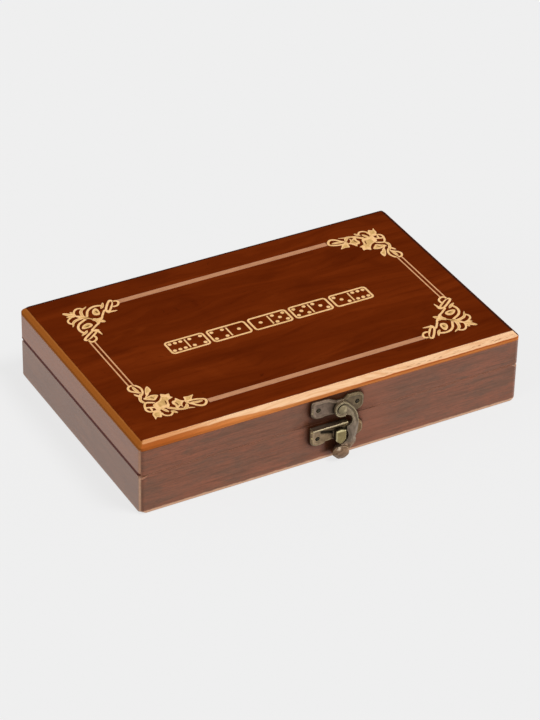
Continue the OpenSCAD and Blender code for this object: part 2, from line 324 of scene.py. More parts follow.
def veneer_figure(look, along, tones, figure, seed):
    """The veneer's colour, and its fibres, its pores and how far its grain is open."""
    grey, middle, red = tones
    clouds = look.grain(along, 26, 8, detail=4, rough=0.6, seed=seed, warp=0.5)
    patches = look.grain(along, 16, 4, detail=5, rough=0.65, seed=seed + 1, warp=0.6)
    streaks = look.grain(along, 14, 0.75, detail=4, rough=0.65, seed=seed + 2, warp=0.3).step(0.44, 0.7)
    lines = look.grain(along, 40, 1.0, detail=3, rough=0.6, seed=seed + 3, warp=0.3).step(0.44, 0.7)
    fibres = look.grain(along, 2.6, 0.4, detail=3, rough=0.7, seed=seed + 4)
    pores = look.grain(along, 2.4, 0.3, detail=1, seed=seed + 5).step(0.64, 0.76)
    calm = abs(look.x - CALM_X).step(28, 12)
    strength = figure - calm * (0.45 * figure)
    deep = linear(grey, 0.55)
    colour = look.paint(
        look.mix(clouds.step(0.38, 0.66), middle, red),
        (patches.step(0.42, 0.68) * 0.8, grey),
        (calm * 0.6, red),
        (streaks * (strength * 0.42), deep),
        (lines * (strength * 0.3), deep),
        (fibres.step(0.42, 0.74) * (strength * 0.45), deep),
        (pores.step(0, 1) * (strength * 0.35), deep),
    )
    return colour, fibres, pores, lines + streaks


def worn_and_highlit_parts(look, along, from_end, from_side, ragged):
    """Where the lacquer is rubbed through and highlights are painted: the foot, rubbed and with a painted
    reflection of the white table; the upright corners, rubbed and with a painted highlight; and the cut
    corners, with a painted highlight.
    """
    foot = (look.z + ragged).step(FOOT_WORN_AND_LIT, FOOT_WORN_AND_LIT - 0.8)
    if along == "Y":
        foot = foot * 0.15
    arris = from_side.step(1.95, 1.6) * from_end.step(0.85, 0.4)
    # The lid's corners get less wear and painted highlight than the base's
    arris = arris * (look.z.step(seam_z + 1, seam_z) * 0.4 + 0.6)
    worn_and_highlit = look.most(foot, arris * (ragged + 0.3))
    on_base = look.z.step(seam_z + 0.05, seam_z - 0.05) * 0.25
    # Painted highlight on the base's cut corners, at the seam and at the foot
    for cut_z, way in ((seam_z - RIM_CUT, 1), (FOOT_CUT, -1)):
        reach = (look.z - cut_z) * (way * 2 ** 0.5)
        facet = (reach - (from_end + from_side)).step(-0.6, -0.1)
        worn_and_highlit = look.most(worn_and_highlit, facet * on_base)
    return worn_and_highlit


def veneer(name, along, tones, seam, figure, gloss, seed, coat_roughness):
    """Lacquered veneer, mottled and streaked, rubbed pale with painted highlights and a painted reflection
    at the foot, and with painted shade by the latch. tones are its grey, middle and red parts, seam is
    (colour, half width, share), figure says how strong the streaks are, and gloss is the lacquer's weight."""
    look = Look(name, Roughness=0.5, Specular_IOR_Level=0.1, Coat_Weight=1.0, Coat_Roughness=coat_roughness)
    colour, fibres, pores, open_grain = veneer_figure(look, along, tones, figure, seed)
    from_end = half_l - abs(look.x)
    from_side = half_w - abs(look.y)
    from_seam = abs(look.z - seam_z)
    ragged = look.noise((3, 3, 1.2), detail=3, seed=seed + 6)
    glue = look.z.step(board_z - 0.5, board_z - 0.25) * look.x.step(0, 30)
    # Along the seam the colour is painted: on the ends a painted shadow of the gap, and on the front a
    # lighter tint that paints out the seam's shade
    seam_colour, half, share = seam
    outside = look.least(from_end, from_side).step(0.8, 0.5)
    parting = from_seam.step(half + 0.12, half - 0.08) * outside
    # Painted shade of the latch on the front's outer face, above the foot and less at the seam
    by_latch = abs(look.x).step(LATCH_SHADES + 6, LATCH_SHADES) * look.z.step(3, 5)
    by_latch = by_latch * look.y.step(0.8 - half_w, 0.5 - half_w) * from_seam.step(-0.6, 0.3)
    shade = look.beside(6, (0.5, 0, -0.5)) * by_latch
    look.cover(
        colour,
        # Pale where rubbed, with painted highlights on the corners and a painted reflection at the foot
        (worn_and_highlit_parts(look, along, from_end, from_side, ragged), VENEER_WORN_AND_HIGHLIGHT),
        (glue, "#a85c28"),
        (parting * share, seam_colour),
        (shade, "#46220e"),
    )
    # The lacquer is duller along the open grain
    polished = look.most(from_seam.step(half + 0.04, half + 0.12) - shade, 0.0)
    look.set("Coat Weight", polished * (gloss - open_grain * (0.18 * gloss * figure)))
    look.bump(fibres * 0.4 - pores, 0.025 * figure)
    return look


# Pale paint of the rubbed parts, which also serves as painted highlight and painted reflection
VENEER_WORN_AND_HIGHLIGHT = "#dda985"
WALL_TONES = ("#744b32", "#884f32", "#985434")
LID_END_TONES = ("#8e5430", "#94562d", "#9c5a2e")
BASE_END_TONES = ("#7e5236", "#845639", "#8c5a3a")
# Seam paint: on the front a lighter tint over the seam's shade, and on the ends a painted shadow of the gap
WALL_SEAM = ("#966650", 0.2, 0.9)
END_SEAM = ("#54221c", 0.88, 0.95)
wall_look = veneer("veneered_wall", "X", WALL_TONES, WALL_SEAM, 1.0, 0.82, 1, 0.16)
lid_end_look = veneer("lid_end_wall", "Y", LID_END_TONES, END_SEAM, 0.3, 0.84, 11, 0.14)
base_end_look = veneer("base_end_wall", "Y", BASE_END_TONES, END_SEAM, 0.3, 0.84, 18, 0.14)
dress(["base_front_wall", "base_back_wall", "lid_front_wall", "lid_back_wall"], wall_look)
dress(["lid_left_wall", "lid_right_wall"], lid_end_look)
dress(["base_left_wall", "base_right_wall"], base_end_look)


def lid_stain(look, from_end, from_side):
    """Colour of the stained face, darkest along its far edges, and the height of its grain."""
    bands = look.grain("X", 110, 12, detail=2, seed=21, warp=0.4)
    streaks = look.grain("X", 60, 2.6, detail=4, rough=0.55, seed=22, warp=0.3)
    fibres = look.grain("X", 16, 0.5, detail=3, rough=0.6, seed=23)
    pores = look.grain("X", 5, 0.3, detail=1, seed=24).step(0.66, 0.75)
    clouds = look.noise((34, 15, 15), detail=3, rough=0.55, seed=29, warp=0.6)
    far_end = look.x.step(0, 1) * from_end.step(3.6, 3.1)
    far_side = look.y.step(0, 1) * from_side.step(3.6, 3.1)
    stain = look.paint(
        look.mix(bands.step(0.3, 0.7), "#612206", "#6e2909"),
        (streaks.step(0.42, 0.72) * 0.55, "#581c04"),
        (clouds.step(0.46, 0.72) * 0.45, "#4a1503"),
        (clouds.step(0.42, 0.24) * 0.4, "#7c320d"),
        (fibres.step(0.5, 0.78) * 0.2, "#421203"),
        (pores * 0.35, "#300c02"),
        (look.most(far_end, far_side) * 0.8, "#2e1912"),
    )
    return stain, fibres * 0.35 - pores


def long_bevel(look, tone, by_corner):
    """Colour of the bevel and the edge below it along the long sides."""
    fleck = look.grain("X", 3.6, 0.4, detail=2, seed=27).step(0.52, 0.66)
    fleck = fleck * abs(look.z - (top_z - BEVEL * 0.55)).step(0.45, 0.15) * look.x.step(12, 34)
    pale = look.paint(
        look.mix(tone, "#f9cb9e", "#eab282"),
        (fleck * 0.75, "#a06042"),
        (by_corner, "#d08448"),
    )
    # The bevel's pale part narrows towards the left
    low_z = look.x.step(-22, -60) * 1.1 + 0.22 + look.noise((9, 9, 9), detail=4, seed=28) * 0.6
    over = look.z - low_z - (top_z - BEVEL - 0.25)
    arris = over.step(-0.75, -0.45) * look.x.step(0, 20)
    edge = look.paint(
        look.mix(over.step(-1.2, -0.3), "#de8646", "#d4884e"),
        (tone * 0.4, "#c06c32"),
        (by_corner, "#a4501a"),
        (arris * 0.75, "#b0501a"),
    )
    return look.mix(over.step(0.12, -0.12), pale, edge)


def end_bevel(look, from_end, tone):
    """Colour of the bevel and the edge below it on the end grain. The right end is dark."""
    return look.paint(
        look.mix(from_end.step(BEVEL - 1.0, BEVEL - 0.3), "#9e5a22", "#b26e34"),
        (tone * 0.3, "#9c5622"),
        (look.z.step(board_z + 0.75, board_z + 0.35), "#ba7a52"),
        (look.x.step(0, 1), "#542c18"),
    )


def lid_board_look():
    """Dark stain on the face, rubbed off raggedly to the bare wood of the bevel and the edge."""
    look = Look("lid_board", Roughness=0.6, Specular_IOR_Level=0.0)
    look.bend((0, 1, 0), look.noise((70, 22, 22), detail=2, seed=20) * 26)
    from_end = half_l - abs(look.x)
    from_side = half_w - abs(look.y)
    stain, relief = lid_stain(look, from_end, from_side)
    tone = look.grain("X", 26, 1.0, detail=3, seed=26).step(0.36, 0.7)
    by_corner = look.x.step(-44, -88) * 0.75
    on_end = (from_side - from_end).step(-0.3, 0.3)
    wood = look.mix(on_end, long_bevel(look, tone, by_corner), end_bevel(look, from_end, tone))
    # Along the back the stain reaches further out than along the front
    to_side = from_side - 0.5 + look.y.step(-1, 1) * 0.85
    inset = look.least(from_end + 0.35, to_side) + look.noise((4, 4, 1), detail=3, seed=25) * 0.3
    bare = inset.step(BEVEL + 0.35, BEVEL - 0.1)
    look.cover(stain, (bare, wood))
    look.bump(relief, 0.02)
    return look


board_look = lid_board_look()


def print_look(name, light, dark, worn="#b07842", lumps=(1.6, 1.6, 1.6), scratch=(6, 0.3),
               wear=(0.6, 0.35), seed=31, **surface):
    """Print, mottled light and dark, and of the worn colour where it lies thinner over the stain."""
    look = Look(name, **{"Roughness": 0.55, "Specular_IOR_Level": 0.1, **surface})
    cloud = look.noise(lumps, detail=3, rough=0.6, seed=seed).step(0.35, 0.7)
    thin = look.grain("X", *scratch, detail=3, rough=0.7, seed=seed + 1).step(wear[0], 0.85)
    look.cover(light, (cloud, dark), (thin * wear[1], worn))
    look.bump(look.noise((0.25, 0.25, 0.25), detail=2, seed=seed + 2), 0.015)
    return look


# ---- Mesh helpers and the lid board. Everything is drawn in millimetres ----

def make_piece(name, verts, faces, look, body, smooth=False):
    mesh = bpy.data.meshes.new(name)
    mesh.from_pydata([[c * MM for c in v] for v in verts], [], faces)
    mesh.validate()
    if smooth:
        mesh.shade_smooth()
    mesh.materials.append(look.material)
    piece = new_object(name, mesh)
    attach(piece, body)
    return piece


def rounded_ring(reach_l, reach_w, r, z, steps=6):
    """Corners of a rectangle with round corners, anticlockwise, at height z."""
    ring = []
    for quarter, (sx, sy) in enumerate(((1, 1), (-1, 1), (-1, -1), (1, -1))):
        for i in range(steps + 1):
            turn = pi / 2 * (quarter + i / steps)
            ring.append((sx * (reach_l - r) + r * cos(turn), sy * (reach_w - r) + r * sin(turn), z))
    return ring


def loft(rings):
    """Closed skin over rings that all have the same number of points."""
    count = len(rings[0])
    verts = [v for ring in rings for v in ring]
    faces = [tuple(reversed(range(count)))]
    for level in range(len(rings) - 1):
        start = level * count
        for i in range(count):
            j = (i + 1) % count
            faces.append((start + i, start + j, start + count + j, start + count + i))
    faces.append(tuple(range(len(verts) - count, len(verts))))
    return verts, faces


def make_lid_board():
    """The lid's top board, with its edges softened."""
    soft = 0.25
    strip_top = board_z + STRIP_H
    profile = [
        (0.08, board_z), (0, board_z + 0.1), (0, strip_top - soft), (0.06, strip_top),
        (soft, strip_top + soft * 1.2), (BEVEL - soft, top_z - soft * 1.2),
        (BEVEL - 0.05, top_z - 0.07), (BEVEL + soft, top_z),
    ]
    rings = [rounded_ring(half_l - inset, half_w - inset, max(CORNER_R - inset * 0.5, 0.3), z)
             for inset, z in profile]
    verts, faces = loft(rings)
    board = make_piece("lid_board", verts, faces, board_look, "lid")
    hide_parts("lid_top_board")


make_lid_board()


# ---- Print on the lid ----

PRINT_Z = top_z + 0.1  # top of the lowest layer of print
PRINT_FOOT = top_z - 0.02  # the print goes this far into the lacquer
LAYER = 0.002  # each further shape lies this much higher, so that none coincide
DULL = 1  # place of the duller gold among the inks
STAIN = 2  # place of the lid's own stain among the inks
PRINT_Y = -0.5  # middle of the print, a little in front of the lid's own middle
PRINT_REACH = (83.5, 47.9)  # from the print's middle to the ornaments' outer corners
BAND_Y = 45  # from the print's middle to the middle of a wide band
BAND_REACH = (55.5, 1.45)  # half a band's length and width
LINES_X = (79.75, 81.9)  # from the print's middle to the thin lines at both ends
LINE_REACH = (0.33, 20)  # half a line's width and length


def curve_through(points, closed=False, steps=5):
    """Smooth curve through points in the plane."""
    count = len(points)
    spans = count if closed else count - 1
    path = []
    for i in range(spans):
        if closed:
            near = [points[(i + k) % count] for k in (-1, 0, 1, 2)]
        else:
            near = [points[min(max(i + k, 0), count - 1)] for k in (-1, 0, 1, 2)]
        for step in range(steps):
            t = step / steps
            path.append(tuple(
                0.5 * (2 * b + (c - a) * t + (2 * a - 5 * b + 4 * c - d) * t * t
                       + (3 * b - a - 3 * c + d) * t ** 3)
                for a, b, c, d in zip(*near)
            ))
    if not closed:
        path.append(tuple(points[-1]))
    return path


def ribbon(points, width, kind):
    """Outline of a stroke along points. A leaf is pointed at both ends, a stroke round at both,
    and a tail round at its first point and pointed at its last."""
    path = curve_through(points)
    last = len(path) - 1
    left, right = [], []
    for i, (x, y) in enumerate(path):
        ahead, behind = path[min(i + 1, last)], path[max(i - 1, 0)]
        dx, dy = ahead[0] - behind[0], ahead[1] - behind[1]
        run = hypot(dx, dy) or 1
        t = i / last
        blunt = min(1, (4 * (1 - t) * t + 0.05) * 3) ** 0.5
        share = {
            "leaf": 0.06 + 0.94 * sin(pi * t) ** 0.75,
            "stroke": blunt,
            "tail": blunt if t < 0.35 else (1 - (t - 0.35) / 0.65) ** 0.6 + 0.04,
        }[kind]
        half = width / 2 * share
        left.append((x - dy / run * half, y + dx / run * half))
        right.append((x + dy / run * half, y - dx / run * half))
    return left + right[::-1]


class Print:
    """Flat shapes that lie in layers on the lid. Each is in one of the inks of build()."""

    def __init__(self, place):
        self.place = place
        self.verts = []
        self.faces = []
        self.inks = []
        self.layer = 0

    def wall(self, rings, closed):
        """Quads from each ring to the next, and from the last to the first where closed."""
        start, count = len(self.verts), len(rings[0])
        self.verts += [v for ring in rings for v in ring]
        for k in range(len(rings) if closed else len(rings) - 1):
            below, above = start + k * count, start + (k + 1) % len(rings) * count
            for i in range(count):
                j = (i + 1) % count
                self.faces.append((below + i, below + j, above + j, above + i))
        return start, count

    def area(self, outline, ink=0):
        """The inside of one closed outline."""
        spots = [self.place(*spot) for spot in outline]
        turn = sum(a[0] * b[1] - b[0] * a[1] for a, b in zip(spots, spots[1:] + spots[:1]))
        if turn < 0:
            spots.reverse()
        self.layer += 1
        high = PRINT_Z + LAYER * self.layer
        start, count = self.wall([[(x, y, z) for x, y in spots] for z in (PRINT_FOOT, high)], closed=False)
        self.faces.append(tuple(start + i for i in reversed(range(count))))
        self.faces.append(tuple(start + count + i for i in range(count)))
        self.inks += [ink] * (len(self.faces) - len(self.inks))

    def bar(self, x, y, reach_x, reach_y):
        """A rectangle about its middle x, y."""
        self.area([(x + sx * reach_x, y + sy * reach_y) for sx, sy in ((-1, -1), (1, -1), (1, 1), (-1, 1))])

    def frame_line(self, outer, inner):
        """The band between two rings with the same number of points."""
        self.layer += 1
        high = PRINT_Z + LAYER * self.layer
        self.wall([
            [(*self.place(x, y), z) for x, y in ring]
            for ring, z in ((outer, PRINT_FOOT), (outer, high), (inner, high), (inner, PRINT_FOOT))
        ], closed=True)
        self.inks += [0] * (len(self.faces) - len(self.inks))

    def shapes(self, drawing, mirrored=False):
        """Draws each shape, and a duller middle in the wide ones."""
        for kind, width, points in drawing:
            for swap in ((False, True) if mirrored else (False,)):
                spots = [(t, s) for s, t in points] if swap else points
                if kind == "blob":
                    outline = curve_through(spots, closed=True)
                    self.area(outline)
                    middle = [sum(c) / len(outline) for c in zip(*outline)]
                    self.area([[m + 0.6 * (c - m) for c, m in zip(spot, middle)] for spot in outline], DULL)
                elif kind == "vein":
                    self.area(ribbon(spots, width, "leaf"), STAIN)
                else:
                    self.area(ribbon(spots, width, kind))
                    if kind != "stroke" and width > 1.3:
                        self.area(ribbon(spots, width * 0.42, "leaf"), DULL)

    def build(self, name, looks):
        piece = make_piece(name, self.verts, self.faces, looks[0], "lid")
        for look in looks[1:]:
            piece.data.materials.append(look.material)
        piece.data.polygons.foreach_set("material_index", self.inks)
        return piece


# Corner ornaments. A drawing's points are (s, t) in millimetres in from the ornament's outer
# corner, s along the long side and t along the short one. Those with a medallion are drawn for
# one leg and mirrored about the diagonal.
MEDALLION_LEG = [
    ("leaf", 1.8, [(5.8, 5.6), (3.4, 3.2), (0.8, 0.5)]),
    ("leaf", 1.6, [(5.2, 4.8), (4.9, 3.0), (4.2, 1.0)]),
    ("stroke", 0.95, [(5.2, 4.6), (5.3, 3.2), (6.1, 1.6), (7.2, 0.4), (8.6, 0.0), (9.8, 0.4), (10.6, 1.3)]),
    ("tail", 1.5, [(8.0, 7.4), (8.3, 4.8), (9.0, 2.9), (10.2, 1.6), (11.6, 1.0), (13.0, 0.1)]),
    ("blob", 0, [(4.8, 4.8), (7.4, 6.0), (9.4, 7.6), (10.8, 9.8), (13.0, 12.2), (12.2, 13.0), (9.8, 10.8),
        (7.6, 9.4), (6.0, 7.4)]),
    ("stroke", 1.15, [(9.4, 8.6), (10.5, 6.3), (11.6, 4.3), (13.0, 2.9), (14.7, 2.0), (16.6, 1.7),
        (18.6, 2.1), (20.0, 2.9)]),
    ("leaf", 2.3, [(10.4, 10.4), (13.0, 13.0), (15.4, 15.6)]),
    ("leaf", 1.5, [(11.6, 12.2), (12.3, 14.0), (11.5, 16.2)]),
    ("stroke", 1.0, [(13.2, 13.4), (15.0, 12.4), (16.3, 10.4), (17.7, 8.5), (19.3, 6.4)]),
    ("stroke", 1.1, [(19.4, 7.6), (20.8, 5.3), (22.5, 2.9), (24.3, 0.8), (25.2, 0.6), (25.7, 1.6)]),
    ("blob", 0, [(13.0, 7.4), (13.8, 8.7), (15.4, 9.0), (16.4, 7.8), (16.7, 5.8), (16.6, 4.2), (15.8, 3.3),
        (14.4, 4.2), (13.4, 5.6)]),
    ("leaf", 1.4, [(18.2, 4.9), (19.7, 3.3), (21.3, 0.6)]),
    ("tail", 1.0, [(20.6, 8.6), (22.2, 7.0), (23.7, 5.0), (25.0, 3.0), (25.5, 1.4)]),
    ("stroke", 1.0, [(23.9, 5.6), (25.0, 5.9), (26.4, 5.6), (27.5, 4.4), (27.9, 3.0), (27.2, 1.9),
        (26.0, 1.9)]),
    ("tail", 1.3, [(19.7, 7.2), (20.6, 8.8), (22.4, 9.2), (24.5, 9.5)]),
    ("leaf", 1.2, [(20.2, 6.4), (19.8, 8.2), (20.4, 9.9)]),
    ("vein", 0.7, [(15.2, 7.4), (15.3, 6.4), (15.0, 5.6)]),
    ("vein", 0.45, [(8.6, 7.6), (10.2, 9.2), (11.4, 10.9)]),
]
VINE_MIDDLE = [
    ("blob", 0, [(0.8, 0.6), (2.2, 1.9), (3.8, 1.0), (4.9, 2.8), (5.6, 5.4), (4.6, 6.2), (2.2, 5.8),
        (1.1, 4.2), (1.0, 2.4)]),
    ("blob", 0, [(4.6, 6.0), (7.4, 6.6), (9.8, 6.4), (11.1, 7.4), (11.7, 9.6), (12.4, 11.3), (15.0, 12.3),
        (14.4, 13.4), (14.8, 15.6), (13.1, 15.7), (11.3, 16.9), (10.4, 14.8), (8.4, 12.7), (6.2, 11.8),
        (4.6, 10.8), (4.4, 8.6)]),
]
VINE_LONG_LEG = [
    ("stroke", 0.9, [(5.4, 4.0), (5.4, 2.3), (6.6, 0.9), (8.3, 0.6), (9.5, 1.5), (10.2, 2.6)]),
    ("leaf", 1.5, [(6.6, 7.4), (7.6, 5.2), (8.6, 3.1)]),
    ("leaf", 1.4, [(9.4, 3.3), (10.7, 2.3), (11.7, 0.7)]),
    ("tail", 1.5, [(9.2, 6.6), (11.2, 4.8), (13.2, 3.2), (15.6, 2.2), (18.0, 1.9), (20.4, 0.9)]),
    ("leaf", 1.7, [(15.6, 2.6), (17.5, 3.3), (18.4, 5.4)]),
    ("blob", 0, [(15.8, 11.2), (14.9, 9.9), (13.4, 9.6), (12.7, 8.0), (13.2, 6.2), (12.8, 4.6), (13.8, 4.0),
        (15.2, 5.0), (15.8, 3.6), (16.3, 5.4), (17.4, 6.9), (18.6, 7.5), (17.2, 8.7)]),
    ("leaf", 1.0, [(18.4, 7.2), (19.2, 5.6), (20.4, 3.6)]),
    ("blob", 0, [(18.5, 7.4), (19.0, 8.6), (19.4, 10.3), (21.4, 9.9), (24.0, 10.1), (22.8, 8.6),
        (21.8, 7.2), (20.0, 6.6)]),
    ("stroke", 1.0, [(19.4, 6.5), (22.0, 6.6), (24.6, 6.0), (26.6, 5.0), (27.6, 3.8)]),
    ("stroke", 1.15, [(19.8, 5.2), (20.8, 3.8), (21.9, 2.2), (23.3, 1.1), (24.7, 0.8), (26.0, 1.5),
        (27.0, 2.8), (27.2, 4.2)]),
    ("leaf", 1.5, [(20.4, 5.2), (22.8, 4.3), (25.8, 4.0)]),
]
VINE_SHORT_LEG = [
    ("stroke", 1.0, [(4.6, 6.2), (2.6, 6.3), (0.9, 7.0), (0.2, 8.4), (0.5, 10.4), (1.3, 12.4), (2.6, 13.7),
        (4.4, 13.1), (6.2, 12.0)]),
    ("stroke", 0.95, [(0.9, 10.2), (2.6, 9.7), (4.8, 8.8)]),
    ("leaf", 1.0, [(2.2, 7.0), (2.6, 8.2), (2.4, 9.4)]),
    ("leaf", 1.4, [(2.4, 13.6), (1.3, 16.0), (2.0, 19.6)]),
    ("blob", 0, [(3.0, 17.2), (5.4, 17.7), (7.6, 18.0), (10.0, 16.8), (8.6, 15.0), (7.0, 13.8), (5.4, 14.8),
        (3.6, 15.9)]),
    ("leaf", 1.5, [(1.4, 16.6), (2.4, 19.0), (3.6, 21.2)]),
    ("leaf", 1.1, [(2.6, 18.6), (1.6, 20.4), (0.7, 22.0)]),
    ("blob", 0, [(5.3, 19.4), (6.0, 21.6), (7.4, 24.0), (8.7, 24.9), (9.1, 23.0), (8.8, 21.2),
        (7.0, 20.0)]),
    ("tail", 1.0, [(7.0, 20.4), (5.6, 18.8), (4.2, 17.4)]),
    ("stroke", 1.0, [(3.4, 19.6), (4.8, 21.4), (5.6, 24.0), (5.2, 26.4), (4.0, 28.2)]),
    ("stroke", 1.0, [(4.0, 21.6), (2.4, 23.0), (0.8, 24.4), (0.2, 26.0), (0.7, 27.6), (1.8, 28.4),
        (3.2, 28.4)]),
    ("leaf", 1.5, [(3.6, 22.4), (2.9, 24.8), (2.8, 27.8)]),
    ("vein", 0.5, [(9.9, 8.4), (10.6, 10.0), (10.8, 11.8)]),
    ("vein", 0.5, [(14.5, 5.4), (14.6, 7.0), (14.2, 8.2)]),
    ("vein", 0.4, [(6.0, 17.0), (6.8, 16.0), (7.4, 14.9)]),
]

INKS = [
    print_look("gold_print", "#f8c88e", "#e4b474"),
    print_look("dull_gold_print", "#deb070", "#be9658"),
    board_look,
]


def corner_place(sx, sy):
    """Puts a corner drawing's (s, t) on the lid. sx and sy say which corner."""
    return lambda s, t: (sx * (PRINT_REACH[0] - s), PRINT_Y + sy * (PRINT_REACH[1] - t))


def make_corner_ornaments():
    for name, sx, sy, kind in (
        ("front_left", -1, -1, "vine"), ("back_right", 1, 1, "vine"),
        ("front_right", 1, -1, "medallion"), ("back_left", -1, 1, "medallion"),
    ):
        ornament = Print(corner_place(sx, sy))
        if kind == "medallion":
            ornament.shapes(MEDALLION_LEG, mirrored=True)
        else:
            ornament.shapes(VINE_MIDDLE + VINE_LONG_LEG + VINE_SHORT_LEG)
        ornament.build("ornament_" + name, INKS)


def make_borders():
    bands = Print(lambda x, y: (x, PRINT_Y + y))
    for y in (-BAND_Y, BAND_Y):
        bands.bar(0, y, *BAND_REACH)
    bands.build("border_bands", [print_look(
        "lid_band", "#be8661", "#b07a56", "#8c5434", (5, 1.2, 1.2), (5, 0.25),
        (0.58, 0.4), 34, Roughness=0.6, Specular_IOR_Level=0.15,
    )])
    lines = Print(lambda x, y: (x, PRINT_Y + y))
    for x in (-LINES_X[1], -LINES_X[0], *LINES_X):
        lines.bar(x, 0, *LINE_REACH)
    lines.build("border_lines", [print_look("lid_lines", "#dea676", "#ce9668")])


# A chain of domino tiles in the middle, each outlined, with its pips
TILE_L = 20.2
TILE_W = 10.4
TILE_R = 1.9
TILE_STEP = 21.4
TILE_LINE = 0.95
BAR_REACH = (0.35, TILE_W / 2 - 1.7)  # the bar across a tile's middle
PIP_R = 0.92
PIP_STEP = 2.75
PIP_SIDES = 24
CHAIN = [(6, 4), (4, 1), (1, 5), (5, 3), (3, 6)]
PIP_PLACES = {
    1: [(0, 0)],
    2: [(-1, 1), (1, -1)],
    3: [(-1, 1), (0, 0), (1, -1)],
    4: [(-1, -1), (-1, 1), (1, -1), (1, 1)],
    5: [(-1, -1), (-1, 1), (0, 0), (1, -1), (1, 1)],
    6: [(-1, -1), (0, -1), (1, -1), (-1, 1), (0, 1), (1, 1)],
}


def make_tile_chain():
    chain = Print(lambda x, y: (x, PRINT_Y - 0.5 + y))
    for i, ends in enumerate(CHAIN):
        middle = (i - (len(CHAIN) - 1) / 2) * TILE_STEP
        rims = [rounded_ring(TILE_L / 2 - inset, TILE_W / 2 - inset, TILE_R - inset, 0)
                for inset in (0, TILE_LINE)]
        chain.frame_line(*([(middle + x, y) for x, y, z in ring] for ring in rims))
        chain.bar(middle, 0, *BAR_REACH)
        for side, pips in zip((-1, 1), ends):
            for px, py in PIP_PLACES[pips]:
                x = middle + side * TILE_L / 4 + px * PIP_STEP
                y = py * PIP_STEP
                turns = [2 * pi * i / PIP_SIDES for i in range(PIP_SIDES)]
                chain.area([(x + PIP_R * cos(turn), y + PIP_R * sin(turn)) for turn in turns])
    chain.build("tile_chain", INKS)


make_corner_ornaments()
make_borders()
make_tile_chain()


# ---- Metalwork ----

# Dark brown of the painted shade on the latch's shadowed places
PAINTED_SHADE = "#261c0e"
OLIVE = (0.86, 0.88, 0.66, 1)  # this and the next three multiply a metal's colour
OLIVE_PALE = (1.15, 1.16, 0.98, 1)
WING_PALE = (1.5, 1.5, 1.2, 1)
TIP_BROWN = (1.3, 1.04, 0.82, 1)

# The slot under the lower plate's ledge falls to the right. These are the x and z of its middle,
# its fall, and where it starts and ends
SLOT_X, SLOT_Z = -4.6, 15.7
SLOT_FALL = 0.27
SLOT_LEFT, SLOT_RIGHT = -8.6, -0.6
BOSS_X, BOSS_Z = -4.3, 12.6  # middle of the raised boss below the slot
FULL_CORNER = (-9.5, 30.1, 3.4)  # x, z and radius of the upper plate's upper left corner

# Places on the hook, in x and z from its pivot
HOOK_THROAT = (2.1, -7.1, 3.35)  # middle and radius of the bend above the jaw
HOOK_JAW = (-0.9, -15.1, 4.5)  # middle and radius of the jaw's hollow
TIP_ENDS = (-1.6, 0.1)  # middles of the tip's two round ends
TIP_Z = -22.9
TIP_SPOT = (-1.7, -20.4)  # slight bump on the tip, painted with a highlight


def metal(name, dark, middle, bright, seed, shine=0.7, roughness=0.46):
    """Aged metal, bright on its edges, where it is rubbed and a highlight is painted, and dark in its
    hollows. Its colour stays at hand for further coats."""
    look = Look(name, Metallic=0.7, Roughness=roughness)
    cloud = look.noise((2.2, 2.2, 2.2), detail=3, rough=0.55, seed=seed)
    grit = look.noise((0.3, 0.3, 0.3), detail=3, rough=0.7, seed=seed + 1)
    sharp = look.field("NewGeometry", {}, "Pointiness")
    deep = look.most(sharp.step(0.49, 0.45), look.open_round(2.4, 8).step(0.78, 0.25))
    look.colour = look.paint(
        middle,
        (cloud.step(0.38, 0.68) * 0.55, dark),
        (grit.step(0.5, 0.8) * 0.2, dark),
        # Painted highlight on sharp edges, together with their wear
        (sharp.step(0.508, 0.55) * shine, bright),
        (deep * 0.88, linear(dark, 0.22)),
    )
    look.cover(look.colour)
    look.bump(grit + cloud * 1.5, 0.03)
    return look


def plate_bronze():
    """Both plates: olive to the right, the lower one paler, with a painted highlight on the ledge's front
    edge, and painted shade on the ledge's top and in the slot below it.
    """
    look = metal("latch_bronze", "#504034", "#705d4e", "#b4a280", 41)
    x, y, z = look.x, look.y, look.z
    lower = z.step(seam_z - 1, seam_z - 2)
    right_wing = lower * x.step(LEDGE_END, LEDGE_END + 1.5)
    on_ledge = z.step(ledge_top - 0.1, ledge_top + 0.2) * z.step(seam_z + 1.5, seam_z + 1)
    on_ledge = on_ledge * y.step(ledge_front + 0.1, ledge_front + 0.5)
    from_slot = abs(z - SLOT_Z + (x - SLOT_X) * SLOT_FALL)
    slot = from_slot.step(1.15, 0.6) * y.step(plate_front - 0.8, plate_front - 0.4)
    slot = slot * x.step(SLOT_LEFT - 0.2, SLOT_LEFT + 1.2) * x.step(SLOT_RIGHT, SLOT_RIGHT - 1)
    nose_highlight = y.step(ledge_front + 0.4, ledge_front + 0.1) * z.step(ledge_top - 1.1, ledge_top - 0.5)
    colour = look.mix(x.step(-2, 7), look.colour, OLIVE, "MULTIPLY")
    look.cover(
        look.mix(lower, colour, WING_PALE, "MULTIPLY"),
        (right_wing * 0.6, "#7c5c44"),
        # Painted shade on the ledge's top and in the slot below it, and a painted highlight on the ledge's
        # front edge
        (on_ledge * 0.85, PAINTED_SHADE),
        (slot * 0.9, PAINTED_SHADE),
        (nose_highlight * 0.35, "#cec09e"),
    )
    return look


